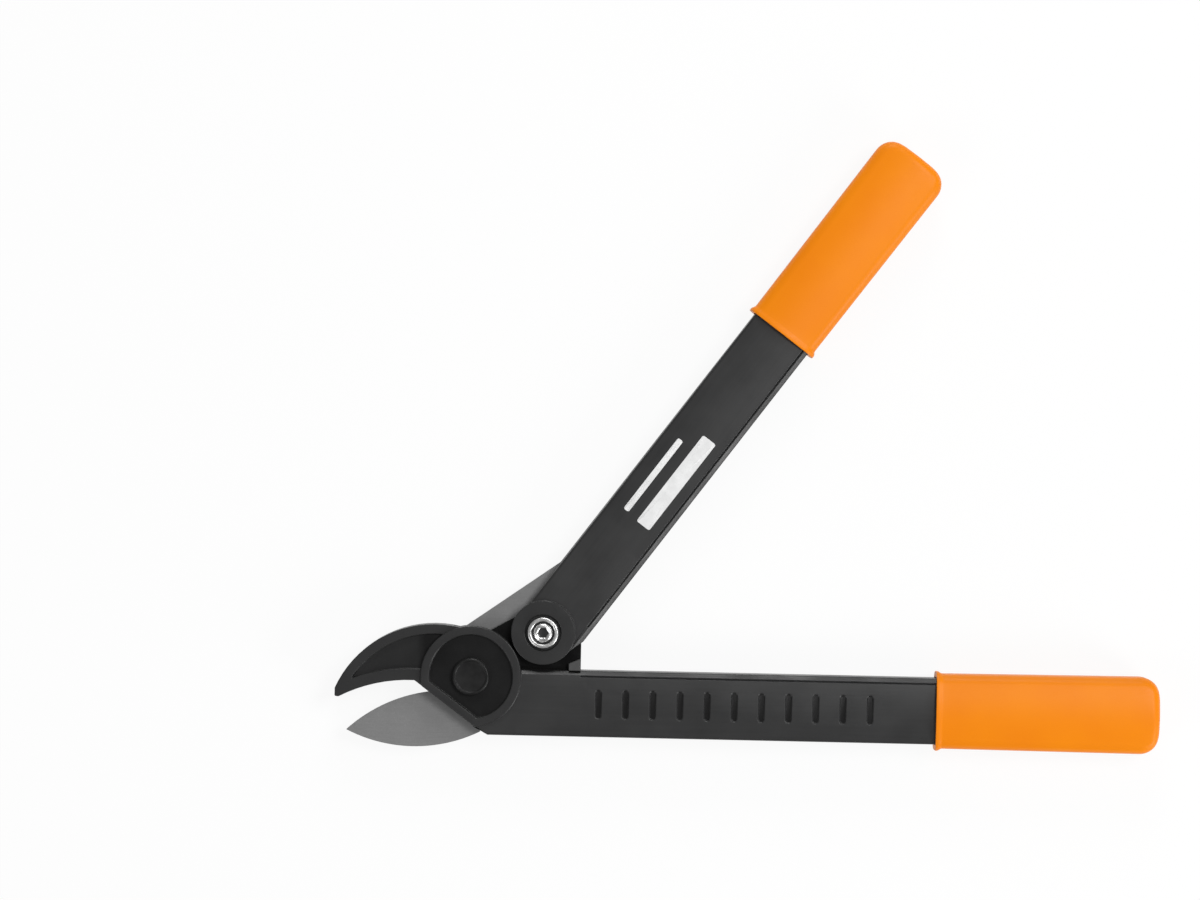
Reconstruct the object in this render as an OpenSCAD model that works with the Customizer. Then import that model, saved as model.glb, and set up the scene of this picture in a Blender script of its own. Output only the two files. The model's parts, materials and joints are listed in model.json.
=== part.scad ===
// Anvil lopper, lying on its back with the jaw half open.
// The origin is on the main pivot's axis, in the plane that the tool rests on.
// +X runs along the fixed handle to its grip, +Z points up to the front face.

/* [Jaw] */
// Distance from the main pivot to the hook's tip
jaw_reach = 70; // [64:1:76]
// Drop of the tip's upper corner below the main pivot
jaw_tip_drop = 7.3; // [5:0.1:9]
// Height of the tip's blunt end
jaw_tip_h = 4.2; // [3:0.1:5]
// Direction that the cut under the tip faces away from
jaw_tip_angle = 80; // [60:1:90]
// Distance from the main pivot to the highest point of the anvil edge
anvil_x = 31.1; // [28:0.1:33]
// Drop of the anvil edge's highest point below the main pivot
anvil_drop = 2.6; // [1.5:0.1:3.5]
// Radius of the anvil edge, and of the cutting edge that lands on it
anvil_r = 78.5; // [72:0.5:90]
// Depth of the groove in the anvil edge that takes the cutting edge
anvil_groove = 0.5; // [0.3:0.1:1]
// Radius of the hook's back
jaw_back_r = 56.1; // [53:0.1:62]
// Direction from the main pivot in which the hook's back meets the boss
jaw_back_angle = 104; // [100:1:110]
// Thickness of the hook
jaw_t = 18; // [16:0.5:20]
// Width of the raised rim along the hook's back
jaw_back_rim = 5; // [3:0.1:6]
// Width of the raised rim along the anvil edge
jaw_edge_rim = 6; // [4:0.1:7]
// Length of the solid tip in front of the sunk panel
jaw_tip_rim = 9; // [8:0.1:12]
// Depth of the sunk panel on each face of the hook
jaw_panel_depth = 2; // [1:0.1:3]

/* [Boss] */
// Radius of the boss round the main pivot
boss_r = 25.9; // [25:0.1:26.2]
// Thickness of the boss
boss_t = 21; // [19:0.5:22]
// Width of the boss's raised rim
boss_rim = 4.3; // [3:0.1:6]
// Depth of the dish inside the rim
boss_dish = 2.5; // [1.5:0.1:3.5]
// Distance from the main pivot to the flat that faces the jaw
boss_flat = 19.3; // [17:0.1:21]
// Direction that the flat faces
boss_flat_angle = 233.7; // [228:0.1:238]
// Length of the flat from its middle to the fixed handle's corner
boss_flat_run = 19.5; // [18:0.1:21]

/* [Blade] */
// Thickness of the blade plate
blade_t = 3.4; // [2.8:0.1:4]
// Angle by which the jaw stands open as drawn
jaw_open = 14.2; // [12:0.1:15]
// Shortfall of the blade's tip from the hook's tip
blade_short = 0.8; // [0.5:0.1:4]
// Radius of the blade's back
blade_back_r = 77; // [72:0.1:95]
// Distance of the blade's heel past the main pivot
blade_heel_x = 5.2; // [4:0.1:6]
// Drop of the blade's heel below the main pivot
blade_heel_drop = 28.8; // [27:0.1:29]
// Radius of the round plate at the main pivot
blade_hub_r = 23.5; // [23.3:0.1:24.2]
// Width of the ground bevel along the cutting edge
blade_bevel = 5; // [1:0.1:6]
// Thickness left at the cutting edge
blade_edge_t = 0.5; // [0.3:0.1:1]
// Direction of the tail's outer edge
tail_angle = 35.2; // [34:0.1:36]
// Distance from the main pivot to the tail's outer edge
tail_offset = 22.9; // [22:0.1:23]
// Width of the tail on the inner side of its drive slot
tail_inner_w = 11; // [9.5:0.1:11.5]
// Distance from the main pivot to the centre of the tail's round end
tail_reach = 80; // [79:0.5:82]

/* [Main pivot] */
// Radius of the bolt's shank
bolt_r = 5; // [4:0.1:5.4]
// Radius of the bolt's head
bolt_head_r = 9.6; // [9:0.1:11]
// Height of the bolt's head
bolt_head_t = 3.6; // [3:0.1:4.4]
// Depth of the sunk face in the bolt's head
bolt_dimple = 0.4; // [0.3:0.1:1]
// Radius of the bush that the blade turns on
bush_r = 7; // [6.6:0.1:8]
// Thickness of each spacer beside the blade
spacer_t = 0.6; // [0.4:0.1:1]
// Radius of the spacers beside the blade
spacer_r = 15; // [12:0.5:18]
// Thickness of the washer under the nut
nut_washer_t = 1.2; // [0.8:0.1:1.6]
// Radius of the washer under the nut
nut_washer_r = 11.5; // [11:0.1:12.5]
// Width of the nut across its flats
nut_flats = 17; // [15:0.5:18]
// Thickness of the nut's closed end
nut_end_t = 1.2; // [0.8:0.1:1.5]

/* [Handles] */
// Width of each handle
handle_w = 34; // [32.5:0.1:38]
// Thickness of each handle
handle_t = 18; // [17:0.5:19]
// Width of the bevel along each handle's inner edge
handle_bevel_w = 2.5; // [1.5:0.1:3]
// Depth of the bevel along each handle's inner edge
handle_bevel_d = 1.6; // [1:0.1:2]
// Size of the small chamfer along each handle's outer edge
handle_chamfer = 1; // [0.5:0.1:2]
// Width of the fine groove beside each bevel
handle_line_w = 0.7; // [0.4:0.1:1]
// Depth of the fine groove beside each bevel
handle_line_d = 0.5; // [0.3:0.1:0.8]
// Rise of the fixed handle's inner edge above the main pivot
handle_rise = 4; // [3:0.1:4.4]
// Size of the slanted corner under the boss
handle_corner = 4; // [2:0.1:5]
// Thickness of the front skin over the pockets in the back
handle_skin = 4; // [3:0.1:5]
// Thickness of the side walls round the pockets
handle_wall = 4; // [3.5:0.1:5]
// Thickness of the ribs between the pockets
handle_rib = 3; // [2:0.1:4]
// Corner radius of the pockets
pocket_r = 3; // [2:0.1:4]
// Number of pockets in each handle
pocket_count = 6; // [4:1:8]
// Length of solid handle left at each end of the row of pockets
pocket_margin = 8; // [5:1:12]

/* [Front slots] */
// Number of shallow slots in the fixed handle's front
slot_count = 11; // [7:1:13]
// Width of each slot
slot_w = 3.2; // [2:0.1:5]
// Length of each slot
slot_len = 15; // [10:0.5:18]
// Depth of each slot
slot_depth = 0.8; // [0.4:0.1:1.2]
// Distance from the main pivot to the first slot
slot_first_x = 66; // [62:1:72]
// Distance from slot to slot
slot_pitch = 14; // [10:0.5:14]

/* [Handle pivot] */
// Distance between the two pivots
link_len = 43.5; // [43.2:0.1:45]
// Direction of the handle pivot from the main pivot
link_angle = 32.35; // [31.5:0.05:33]
// Direction of the moving handle as drawn
swing_angle = 53.3; // [52:0.1:55]
// Angle by which the moving handle closes from there
close_angle = 30; // [26:0.5:30]
// Angle by which the moving handle opens from there
open_angle = 35; // [25:1:36]
// Turn of the blade for each degree of the handle
drive_ratio = 0.47; // [0.46:0.002:0.475]
// Thickness of each ear plate on the fixed handle
ear_t = 3.25; // [2.8:0.05:3.5]
// Radius of the ears round the handle pivot
ear_r = 14; // [12:0.1:15]
// Distance from the main pivot to the ears' straight edge
ear_edge_x = 56.5; // [55.5:0.1:57.5]
// Radius of the disc at the moving handle's end
fork_r = 16.5; // [15:0.1:16.7]
// Thickness across that disc
fork_t = 21; // [20.5:0.1:21.5]
// Depth of the counterbore in each face of the disc
fork_sink = 1.5; // [1.2:0.1:1.8]
// Radius of that counterbore
fork_sink_r = 9.3; // [9:0.1:10.5]
// Distance from the handle pivot to the moving handle's inner edge
fork_inner = 19.2; // [18:0.1:19.4]
// Distance past the handle pivot at which the inner edge starts
fork_corner = 9; // [7:0.1:11]
// Radius of the screw's shank
screw_r = 3; // [2.5:0.1:3.4]
// Radius of the screw's head
screw_head_r = 4.9; // [4.5:0.1:5.2]
// Width of the hex socket across its flats
screw_socket = 5; // [4:0.5:5.5]
// Depth of the hex socket
screw_socket_depth = 1.4; // [1:0.1:1.6]
// Radius of the bush in the ears
link_bush_r = 5; // [4.6:0.1:5.4]
// Radius of the cup washer and of the nut behind
cup_r = 8; // [7.5:0.1:8.6]
// Thickness of the cup washer
cup_t = 2.9; // [2.4:0.1:3]
// Thickness of the cup washer's floor
cup_floor = 1.1; // [0.8:0.1:1.3]
// Gap between the screw's head and the cup washer's lip
cup_gap = 0.9; // [0.3:0.1:1.4]
// Radius of the spacers beside the ears
fork_spacer_r = 10; // [8:0.5:12]
// Width of the stop buffers
buffer_w = 6.2; // [4:0.1:8]

/* [Drive pin] */
// Distance from the handle pivot to the drive pin
drive_reach = 38.6; // [38:0.1:39.4]
// Radius of the drive pin
drive_r = 4; // [3.4:0.1:4.4]
// Thickness of handle left in front of the pin's blind hole
drive_cover = 2; // [1.5:0.1:3]
// Room on each side of the pin in the tail's slot
drive_gap = 0.6; // [0.5:0.05:0.9]

/* [Grips] */
// Length of each grip
grip_len = 116; // [100:1:130]
// Wall of a grip beside the handle's edges, at the bead
grip_wall = 2.2; // [1.6:0.1:4]
// Growth of a grip's width from the bead to its end
grip_flare = 1.2; // [0:0.1:4]
// Wall of a grip over the handle's faces
grip_face_wall = 2.8; // [2.2:0.1:4]
// Radius of a grip's long edges
grip_edge_r = 5.6; // [4:0.1:9]
// Radius of the end corners seen from the front
grip_corner_r = 10; // [6:0.1:12]
// Radius of the end seen from the side
grip_end_r = 4; // [3:0.1:9]
// Height by which the bead stands proud
bead_rise = 1.2; // [0.6:0.1:1.6]
// Length of the bead
bead_len = 3; // [2:0.1:8]
// Thickness of a grip's closed end
grip_end_t = 8; // [5:0.1:12]
// Distance from the main pivot to the fixed handle's grip
fixed_grip_x = 240; // [232:1:270]
// Distance from the handle pivot to the moving handle's grip
moving_grip_x = 197; // [190:1:230]

/* [Hidden] */
$fn = 96;
// Overrun of every cut
over = 1;
// Running clearance of a pin in its hole and of a plate on its spacer
run_gap = 0.05;
// Clearance of pieces that are fixed to each other
fit_gap = 0.02;
// Clearance of pieces that pass each other
pass_gap = 0.5;
// Chamfer on the two heads, the cup washer, the round nut and the drive pin
edge_cut = 0.6;
// Share of the bolt head's radius that its sunk face takes
dimple_share = 0.84;
grip_t = handle_t + 2 * grip_face_wall;
grip_mouth_w = handle_w + 2 * grip_wall;
grip_end_w = grip_mouth_w + grip_flare;
mid_z = grip_t / 2 + bead_rise;
dish_z = boss_t / 2 - boss_dish;
slit_h = blade_t / 2 + run_gap + spacer_t;
ear_h = slit_h + ear_t;
cheek_h = ear_h + spacer_t + run_gap;
nut_t = mid_z - dish_z - nut_washer_t;
nut_corner_r = nut_flats / 2 / cos(30);
socket_corner_r = screw_socket / 2 / cos(30);
link_half = fork_t / 2 - fork_sink + pass_gap / 2;
pivot_2 = turn([link_len, 0], link_angle);
handle_low = handle_rise - handle_w;
handle_mid = handle_rise - handle_w / 2;
fork_outer = handle_w - fork_inner;
anvil_centre = [-anvil_x, -anvil_drop - anvil_r];
jaw_back_centre = arc_centre([-jaw_reach, -jaw_tip_drop], turn([boss_r, 0], jaw_back_angle), jaw_back_r);
edge_centre = turn(anvil_centre, jaw_open);
tip_x = blade_short - jaw_reach;
tip_closed = [tip_x, anvil_centre.y + sqrt(anvil_r * anvil_r - pow(tip_x - anvil_centre.x, 2))];
blade_tip = turn(tip_closed, jaw_open);
blade_heel = [blade_heel_x, -blade_heel_drop];
blade_back_centre = arc_centre(blade_heel, blade_tip, blade_back_r);
drive_at = pivot_2 + turn([drive_reach, 0], swing_angle);
drive_angle = atan2(drive_at.y, drive_at.x);
drive_near = norm(pivot_2 + turn([drive_reach, 0], swing_angle + open_angle));
drive_far = link_len + drive_reach;
blade_closing = drive_ratio * close_angle;
blade_opening = drive_ratio * open_angle;
tail_taper = drive_angle - tail_angle;
tail_shift = (tail_offset - tail_reach * sin(tail_taper) - tail_inner_w) / (1 + cos(tail_taper));
tail_end_r = tail_inner_w + tail_shift;
tail_end = turn([tail_reach, 0], drive_angle) + turn([tail_shift, 0], drive_angle + 90);
notch_h = link_bush_r + pass_gap;
tang_len = grip_len - grip_end_t;
wide = 2 * (jaw_reach + link_len + drive_reach);

// A point turned about the main pivot
function turn(p, a) = [p.x * cos(a) - p.y * sin(a), p.x * sin(a) + p.y * cos(a)];
// Centre of the arc of radius r from a to b, on the right of the way from a to b
function arc_centre(a, b, r) =
    let (half = (b - a) / 2, away = [half.y, -half.x] / norm(half))
    a + half + away * sqrt(r * r - half * half);

// A round piece of outline at a point
module disc_at(p, r) {
    translate(p) circle(r);
}

// A plate about the middle plane
module plate(t) {
    translate([0, 0, mid_z - t / 2]) linear_extrude(t) children();
}

// The children as they stand on the back instead of the front
module to_back() {
    translate([0, 0, 2 * mid_z]) mirror([0, 0, 1]) children();
}

// A copy of the children on the front and on the back
module both_faces() {
    children();
    to_back() children();
}

// A ring that stands on the height z
module ring(r_out, r_in, z, t) {
    translate([0, 0, z]) difference() {
        cylinder(r = r_out, h = t);
        translate([0, 0, -over]) cylinder(r = r_in, h = t + 2 * over);
    }
}

// A cylinder from height z with a chamfered upper end
module chamfered(r, z, t) {
    rotate_extrude() polygon([[0, z], [r, z], [r, z + t - edge_cut], [r - edge_cut, z + t], [0, z + t]]);
}

// A rectangle with round corners, centred
module round_rect(w, h, r) {
    square([w - 2 * r, h], center = true);
    square([w, h - 2 * r], center = true);
    for (x = [r - w / 2, w / 2 - r], y = [r - h / 2, h / 2 - r]) disc_at([x, y], r);
}

// A slot outline along Y with round ends, centred
module pill(w, len) {
    straight = len - w;
    square([w, straight], center = true);
    for (y = [-straight / 2, straight / 2]) disc_at([0, y], w / 2);
}

// Places its children at the handle pivot, with X along the moving handle
module at_link() {
    translate(pivot_2) rotate(swing_angle) children();
}

// A handle's cross-section from its outer edge, bevelled on its inner edge, grown by a gap
module handle_section(gap = 0) {
    half = handle_t / 2 + gap;
    far = handle_w + gap;
    polygon([
        [handle_chamfer - gap, -half],
        [handle_w - handle_bevel_w, -half],
        [far, handle_bevel_d - half],
        [far, half - handle_bevel_d],
        [handle_w - handle_bevel_w, half],
        [handle_chamfer - gap, half],
        [-gap, half - handle_chamfer],
        [-gap, handle_chamfer - half],
    ]);
}

// A straight handle bar along X from x0 to x1, with its outer edge on Y = 0
module handle_bar(x0, x1, gap = 0) {
    translate([x0, 0, mid_z]) rotate([90, 0, 90]) linear_extrude(x1 - x0) handle_section(gap);
}

// The fine grooves beside the bevels, on both faces
module handle_lines(x0, x1) {
    y0 = handle_w - handle_bevel_w - handle_line_w;
    both_faces() translate([x0, y0, mid_z + handle_t / 2 - handle_line_d])
        cube([x1 - x0, handle_line_w, handle_line_d + over]);
}

// The row of pockets in a handle's back between x0 and x1
module handle_pockets(x0, x1) {
    pocket_len = (x1 - x0 - (pocket_count - 1) * handle_rib) / pocket_count;
    pocket_w = handle_w - 2 * handle_wall;
    step = pocket_len + handle_rib;
    for (i = [0:pocket_count - 1])
        translate([x0 + i * step + pocket_len / 2, handle_w / 2, mid_z - handle_t / 2 - over])
            linear_extrude(handle_t - handle_skin + over) round_rect(pocket_len, pocket_w, pocket_r);
}

// The boss's outline, drawn in by an inset from its rim and its flat
module boss_outline(inset = 0) {
    intersection() {
        circle(boss_r - inset);
        behind_flat(inset);
    }
}

// All that lies behind the boss's flat, drawn in by an inset
module behind_flat(inset = 0) {
    rotate(boss_flat_angle) translate([boss_flat - inset - wide, -wide / 2]) square([wide, wide]);
}

// The web in the throat that carries the flat's line up to the anvil edge
module throat_outline() {
    intersection() {
        behind_flat();
        disc_at(anvil_centre, anvil_r);
        translate([-wide, -wide / 2]) square([wide, wide]);
    }
}

// The hook's outline between its back and the anvil edge, drawn in by three rims
module jaw_outline(back_rim = 0, edge_rim = 0, tip_rim = 0) {
    intersection() {
        difference() {
            disc_at(jaw_back_centre, jaw_back_r - back_rim);
            disc_at(anvil_centre, anvil_r + edge_rim);
        }
        translate([tip_rim - jaw_reach, -wide / 2]) square([jaw_reach - tip_rim, wide]);
        translate([-jaw_reach, -jaw_tip_drop - jaw_tip_h]) rotate(jaw_tip_angle)
            translate([0, -wide / 2]) square([wide, wide]);
    }
}

// The ears' outline, from inside the boss and the fixed handle up to the handle pivot
module ear_outline() {
    disc_at(pivot_2, ear_r);
    polygon([
        [0, 0],
        [ear_edge_x, 0],
        [ear_edge_x, pivot_2.y],
        pivot_2 + turn([ear_r, 0], link_angle),
        pivot_2 + turn([ear_r, 0], link_angle + 90),
        turn([boss_r - boss_rim, 0], link_angle + 45),
    ]);
}

// The room that the blade sweeps inside the hook and the fixed handle
module blade_room() {
    low = drive_angle - blade_closing;
    high = tail_angle + blade_opening;
    heel = 270 + blade_opening + asin((blade_heel_x + pass_gap) / blade_heel_drop);
    circle(blade_hub_r + pass_gap);
    disc_at(anvil_centre, anvil_r + anvil_groove);
    polygon([
        [0, 0],
        turn([wide, 0], boss_flat_angle - 45),
        turn([wide, 0], boss_flat_angle),
        turn([wide, 0], heel),
    ]);
    polygon([
        turn([tail_inner_w + pass_gap, 0], low - 90),
        turn([tail_inner_w + pass_gap, 0], low - 90) + turn([wide, 0], low),
        turn([tail_offset + pass_gap, 0], high + 90) + turn([wide, 0], high),
        turn([tail_offset + pass_gap, 0], high + 90),
    ]);
}

// The moulded hook, boss, ears and fixed handle
module hook_handle() {
    color("#3b3c3e") difference() {
        union() {
            plate(boss_t) boss_outline();
            plate(jaw_t) jaw_outline();
            plate(jaw_t) throat_outline();
            plate(2 * ear_h) ear_outline();
            intersection() {
                translate([0, handle_low, 0]) handle_bar(0, fixed_grip_x + tang_len);
                plate(boss_t) polygon([
                    [0, handle_rise + over],
                    turn([boss_flat, 0], boss_flat_angle),
                    turn([boss_flat, 0], boss_flat_angle) + turn([boss_flat_run, 0], boss_flat_angle + 90),
                    [blade_heel_x + handle_corner, handle_low],
                    [blade_heel_x + handle_corner, handle_low - over],
                    [fixed_grip_x + grip_len, handle_low - over],
                    [fixed_grip_x + grip_len, handle_rise + over],
                ]);
            }
        }
        plate(2 * slit_h) blade_room();
        both_faces() translate([0, 0, mid_z + dish_z])
            linear_extrude(boss_dish + over) boss_outline(boss_rim);
        both_faces() translate([0, 0, mid_z + jaw_t / 2 - jaw_panel_depth])
            linear_extrude(jaw_panel_depth + over) difference() {
                jaw_outline(jaw_back_rim, jaw_edge_rim, jaw_tip_rim);
                circle(boss_r);
            }
        cylinder(r = bush_r + fit_gap, h = 2 * mid_z);
        translate(pivot_2) cylinder(r = link_bush_r + fit_gap, h = 2 * mid_z);
        translate([0, handle_low, 0]) {
            handle_pockets(ear_edge_x + pocket_margin, fixed_grip_x - pocket_margin);
            handle_lines(ear_edge_x, fixed_grip_x - fit_gap);
        }
        for (i = [0:slot_count - 1])
            translate([slot_first_x + i * slot_pitch, handle_mid, mid_z + handle_t / 2 - slot_depth])
                linear_extrude(slot_depth + over) pill(slot_w, slot_len);
    }
}

// One grip along X from its mouth, about the handle's own middle
module grip() {
    straight = grip_len - grip_corner_r;
    corner_y = grip_end_w / 2 - grip_corner_r;
    difference() {
        union() {
            intersection() {
                translate([0, 0, mid_z]) rotate([90, 0, 90]) linear_extrude(grip_len)
                    round_rect(grip_end_w, grip_t, grip_edge_r);
                plate(2 * mid_z) {
                    polygon([
                        [0, -grip_mouth_w / 2],
                        [straight, -grip_end_w / 2],
                        [straight, grip_end_w / 2],
                        [0, grip_mouth_w / 2],
                    ]);
                    for (y = [-corner_y, corner_y]) disc_at([straight, y], grip_corner_r);
                    translate([0, -corner_y]) square([grip_len, 2 * corner_y]);
                }
                translate([grip_len / 2 - grip_end_r, grip_end_w, mid_z]) rotate([90, 0, 0])
                    linear_extrude(2 * grip_end_w) round_rect(grip_len + 2 * grip_end_r, grip_t, grip_end_r);
            }
            translate([0, 0, mid_z]) rotate([90, 0, 90]) linear_extrude(bead_len)
                round_rect(grip_mouth_w + 2 * bead_rise, 2 * mid_z, grip_edge_r + bead_rise);
        }
        translate([0, -handle_w / 2, 0]) handle_bar(-over, tang_len + fit_gap, fit_gap);
    }
}

module lower_grip() {
    color("#f18c25") translate([fixed_grip_x, handle_mid, 0]) grip();
}

module upper_grip() {
    color("#f18c25") at_link() translate([moving_grip_x, fork_outer - handle_w / 2, 0])
        mirror([0, 1, 0]) grip();
}

// The main pivot's bolt, with a narrow rim round its sunk face
module pivot_bolt() {
    color("#2c2c2e") difference() {
        union() {
            chamfered(bolt_head_r, mid_z + dish_z, bolt_head_t);
            translate([0, 0, nut_end_t + fit_gap]) cylinder(r = bolt_r, h = mid_z + dish_z - nut_end_t);
        }
        translate([0, 0, mid_z + dish_z + bolt_head_t - bolt_dimple])
            cylinder(r = bolt_head_r * dimple_share, h = bolt_dimple + over);
    }
}

module pivot_bush() {
    color("#9b9da0") ring(bush_r, bolt_r + run_gap, mid_z - dish_z, 2 * dish_z);
}

// One of the two spacers that guide the blade between the boss's cheeks
module blade_spacer() {
    color("#d9d6cc") ring(spacer_r, bush_r + fit_gap, mid_z + slit_h - spacer_t, spacer_t);
}

module front_blade_spacer() {
    blade_spacer();
}

module rear_blade_spacer() {
    to_back() blade_spacer();
}

module pivot_washer() {
    color("#9b9da0") ring(nut_washer_r, bolt_r + run_gap, nut_t, nut_washer_t);
}

// The closed nut, whose flat end is the face that the tool rests on
module pivot_nut() {
    color("#2c2c2e") difference() {
        cylinder(r = nut_corner_r, h = nut_t, $fn = 6);
        translate([0, 0, nut_end_t]) cylinder(r = bolt_r + fit_gap, h = nut_t);
    }
}

module link_bush() {
    color("#9b9da0") translate(pivot_2)
        ring(link_bush_r, screw_r + run_gap, mid_z - link_half, 2 * link_half);
}

// One of the two spacers between the ears and the fork's cheeks
module fork_spacer() {
    color("#d9d6cc") translate(pivot_2)
        ring(fork_spacer_r, link_bush_r + fit_gap, mid_z + ear_h, spacer_t);
}

module front_fork_spacer() {
    fork_spacer();
}

module rear_fork_spacer() {
    to_back() fork_spacer();
}

// The handle pivot's screw, with a hex socket in its head
module link_screw() {
    top = mid_z + link_half + cup_t;
    low = mid_z - link_half - cup_t + cup_floor;
    color("#d5d7da") translate(pivot_2) difference() {
        union() {
            chamfered(screw_head_r, mid_z + link_half + cup_floor, cup_t - cup_floor);
            translate([0, 0, low]) cylinder(r = screw_r, h = mid_z + link_half + cup_floor - low);
        }
        translate([0, 0, top - screw_socket_depth]) cylinder(r = socket_corner_r, h = cup_t, $fn = 6);
    }
}

// The cup washer round the screw's head
module link_cup_washer() {
    color("#d5d7da") translate(pivot_2) difference() {
        chamfered(cup_r, mid_z + link_half, cup_t);
        cylinder(r = screw_r + run_gap, h = 2 * mid_z);
        translate([0, 0, mid_z + link_half + cup_floor]) cylinder(r = screw_head_r + cup_gap, h = cup_t);
    }
}

// The round nut behind the handle pivot
module link_nut() {
    color("#d5d7da") translate(pivot_2) difference() {
        to_back() chamfered(cup_r, mid_z + link_half, cup_t);
        translate([0, 0, mid_z - link_half - cup_t + cup_floor]) cylinder(r = screw_r + fit_gap, h = cup_t);
    }
}

// One of the two rubber buffers on the ears, whose slanted tops meet the closing handle
module stop_buffer() {
    closed = swing_angle - close_angle;
    seat = pivot_2 + turn([fork_inner + pass_gap, 0], closed - 90);
    left = ear_edge_x - buffer_w;
    color("#5a5b5d") translate([0, 0, mid_z + ear_h + fit_gap])
        linear_extrude(handle_t / 2 - ear_h - fit_gap) polygon([
            [left, handle_rise + fit_gap],
            [ear_edge_x, handle_rise + fit_gap],
            [ear_edge_x, seat.y + (ear_edge_x - seat.x) * tan(closed)],
            [left, seat.y + (left - seat.x) * tan(closed)],
        ]);
}

module front_stop_buffer() {
    stop_buffer();
}

module rear_stop_buffer() {
    to_back() stop_buffer();
}

// The notch in the blade's tail that clears the handle pivot's bush
module tail_notch() {
    high = link_angle + blade_closing;
    disc_at(turn([link_len, 0], high), notch_h);
    difference() {
        intersection() {
            circle(link_len + notch_h);
            polygon([[0, 0], turn([wide, 0], high - 90), turn([wide, 0], high - 45), turn([wide, 0], high)]);
        }
        circle(link_len - notch_h);
    }
}

// The tail's outline, from the hub to its round end beyond the drive slot
module tail_outline() {
    disc_at(tail_end, tail_end_r);
    polygon([
        turn([tail_inner_w, 0], drive_angle - 90),
        tail_end + turn([tail_end_r, 0], drive_angle - 90),
        tail_end + turn([tail_end_r, 0], tail_angle + 90),
        turn([tail_offset, 0], tail_angle + 90),
    ]);
}

// The straight slot in the tail that the drive pin slides along
module drive_slot() {
    rotate(drive_angle) {
        translate([drive_near - pass_gap, -drive_r - drive_gap])
            square([drive_far - drive_near + 2 * pass_gap, 2 * (drive_r + drive_gap)]);
        for (x = [drive_near - pass_gap, drive_far + pass_gap]) disc_at([x, 0], drive_r + drive_gap);
    }
}

// The cutting part, ground on its back along its round edge
module blade_front() {
    half = blade_t / 2;
    inner = anvil_r - blade_bevel;
    intersection() {
        translate([edge_centre.x, edge_centre.y, mid_z]) rotate_extrude() polygon([
            [0, -half],
            [inner, -half],
            [anvil_r, half - blade_edge_t],
            [anvil_r, half],
            [0, half],
        ]);
        plate(2 * blade_t) intersection() {
            disc_at(blade_back_centre, blade_back_r);
            translate([-wide + blade_heel_x, -wide / 2]) square([wide, wide]);
        }
    }
}

module blade() {
    color("#797a7b") difference() {
        union() {
            blade_front();
            plate(blade_t) circle(blade_hub_r);
            plate(blade_t) tail_outline();
        }
        plate(2 * blade_t) {
            tail_notch();
            drive_slot();
        }
        cylinder(r = bush_r + run_gap, h = 2 * mid_z);
    }
}

// The moving handle, forked round the ears and the blade's tail
module upper_handle() {
    room_len = drive_reach + tail_reach - drive_near + tail_end_r + pass_gap;
    tail_at = turn(turn(tail_end, blade_opening) - pivot_2, -swing_angle - open_angle);
    ear_reach = ear_edge_x - pivot_2.x;
    color("#48494b") at_link() difference() {
        union() {
            plate(fork_t) circle(fork_r);
            intersection() {
                translate([0, fork_outer, 0]) mirror([0, 1, 0]) handle_bar(0, moving_grip_x + tang_len);
                plate(fork_t) polygon([
                    [0, fork_outer + over],
                    [0, -fork_r],
                    [fork_corner, -fork_inner],
                    [fork_corner, -fork_inner - over],
                    [moving_grip_x + grip_len, -fork_inner - over],
                    [moving_grip_x + grip_len, fork_outer + over],
                ]);
            }
        }
        plate(2 * cheek_h) translate([-wide, -wide / 2]) square([wide + ear_reach - over, wide]);
        plate(2 * slit_h) translate([0, tail_at.y - tail_end_r - pass_gap]) square([room_len, wide]);
        cylinder(r = link_bush_r + run_gap, h = 2 * mid_z);
        both_faces() translate([0, 0, mid_z + fork_t / 2 - fork_sink]) cylinder(r = fork_sink_r, h = mid_z);
        translate([drive_reach, 0, 0])
            cylinder(r = drive_r + fit_gap, h = mid_z + handle_t / 2 - drive_cover);
        translate([0, fork_outer, 0]) mirror([0, 1, 0]) {
            handle_pockets(room_len + pocket_margin, moving_grip_x - pocket_margin);
            handle_lines(fork_r, moving_grip_x - fit_gap);
        }
    }
}

// The pin that drives the blade's tail, pressed in from the back
module drive_pin() {
    low = mid_z - handle_t / 2;
    color("#9b9da0") at_link() translate([drive_reach, 0, 0])
        chamfered(drive_r, low, handle_t - drive_cover - fit_gap);
}

hook_handle();
lower_grip();
pivot_bolt();
pivot_bush();
front_blade_spacer();
rear_blade_spacer();
pivot_washer();
pivot_nut();
link_bush();
front_fork_spacer();
rear_fork_spacer();
link_screw();
link_cup_washer();
link_nut();
front_stop_buffer();
rear_stop_buffer();
blade();
upper_handle();
drive_pin();
upper_grip();
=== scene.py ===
"""Looks of an anvil lopper that lies on its back with its jaw half open.

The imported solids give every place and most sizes. The grips, the fasteners and the printed bars are
new surfaces, and the two moulded handles, the blade and the buffers are copies of their solids with
eased edges.
"""
import json
import logging
import math
from dataclasses import dataclass
from enum import Enum
from typing import Any

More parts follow.
